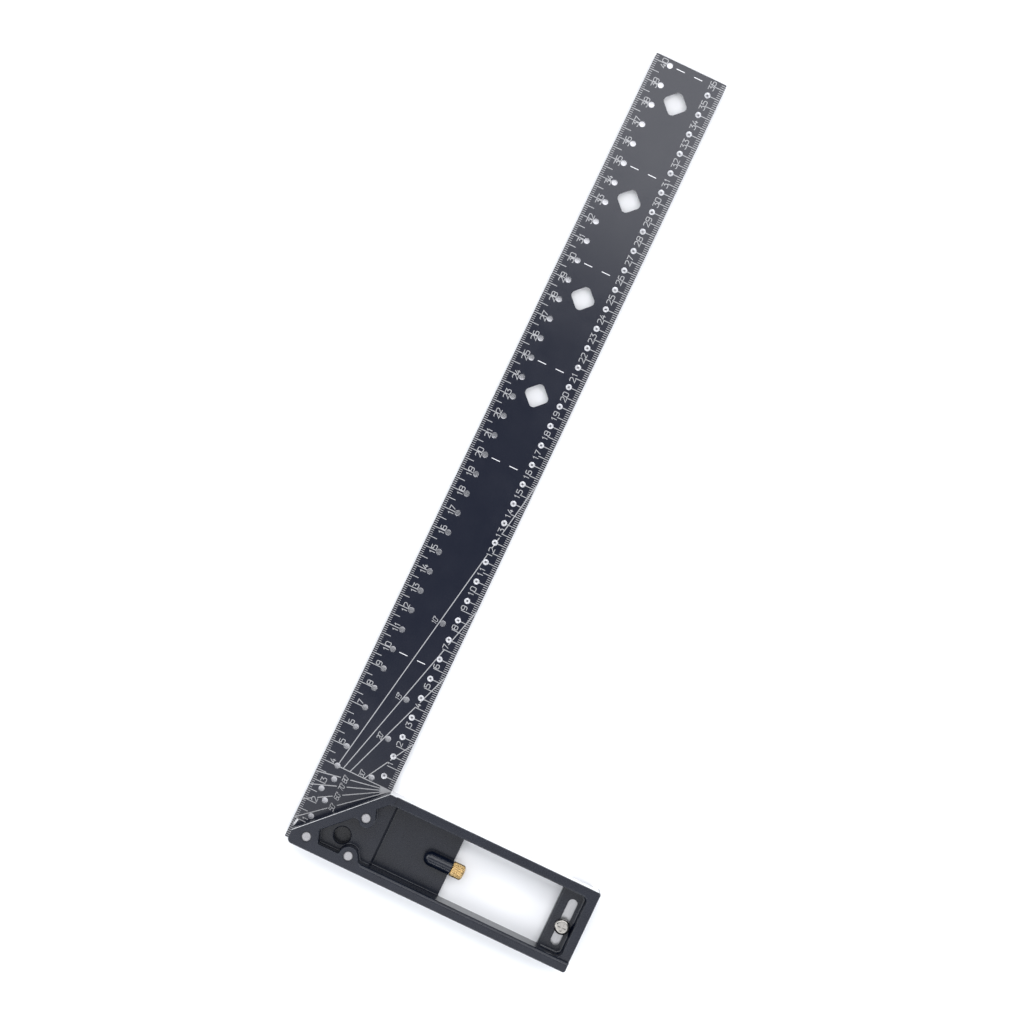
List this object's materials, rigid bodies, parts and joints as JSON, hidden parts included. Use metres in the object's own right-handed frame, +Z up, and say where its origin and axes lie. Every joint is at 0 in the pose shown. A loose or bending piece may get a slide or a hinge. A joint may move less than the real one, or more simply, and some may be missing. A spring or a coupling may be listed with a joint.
{
  "type": "try square",
  "caption": "Carpenter's try square with a graduated, dimpled black blade riveted into a cast mitre handle that stores a pull-out scriber and a sliding, screw-clamped support foot",
  "frame": {"origin": "middle of the underside of the whole object, on the surface it lies on", "axes": "+X along the handle away from the heel, +Y along the blade away from the handle, +Z up out of the face that carries the recess"},
  "size_m": [0.1436, 0.403, 0.018],
  "materials": {
    "black_anodised_blade": "satin black anodised",
    "black_painted_casting": "fine-textured black paint over a die casting, machined bare on the reference faces",
    "bare_aluminium": "turned bare metal",
    "knurled_brass": "knurled brass",
    "needle_steel": "ground hardened steel",
    "black_rubber": "moulded rubber",
    "foot_steel": "brushed plated steel",
    "plated_screw": "bright nickel plating",
    "scale_marking": "pale laser-marked lines and figures"
  },
  "bodies": {
    "handle": {"blade": "black_anodised_blade", "handle_body": "black_painted_casting", "rivet_heel": "bare_aluminium", "rivet_corner": "bare_aluminium", "rivet_outer": "bare_aluminium"},
    "scriber": {"scriber_head": "knurled_brass", "scriber_needle": "needle_steel", "scriber_ring": "black_rubber"},
    "foot": {"support_foot": "foot_steel"},
    "clamp": {"clamp_screw": "plated_screw"}
  },
  "joints": [
    {"name": "scriber_pull", "type": "slide", "parent": "handle", "child": "scriber", "axis": [1, 0, 0], "range_m": [0, 0.03]},
    {"name": "foot_slide", "type": "slide", "parent": "handle", "child": "foot", "axis": [0, 1, 0], "range_m": [-0.006, 0.011]},
    {"name": "screw_turn", "type": "hinge", "parent": "foot", "child": "clamp", "pos_m": [0.0625, -0.184, 0.004], "axis": [0, 0, 1], "continuous": true}
  ]
}
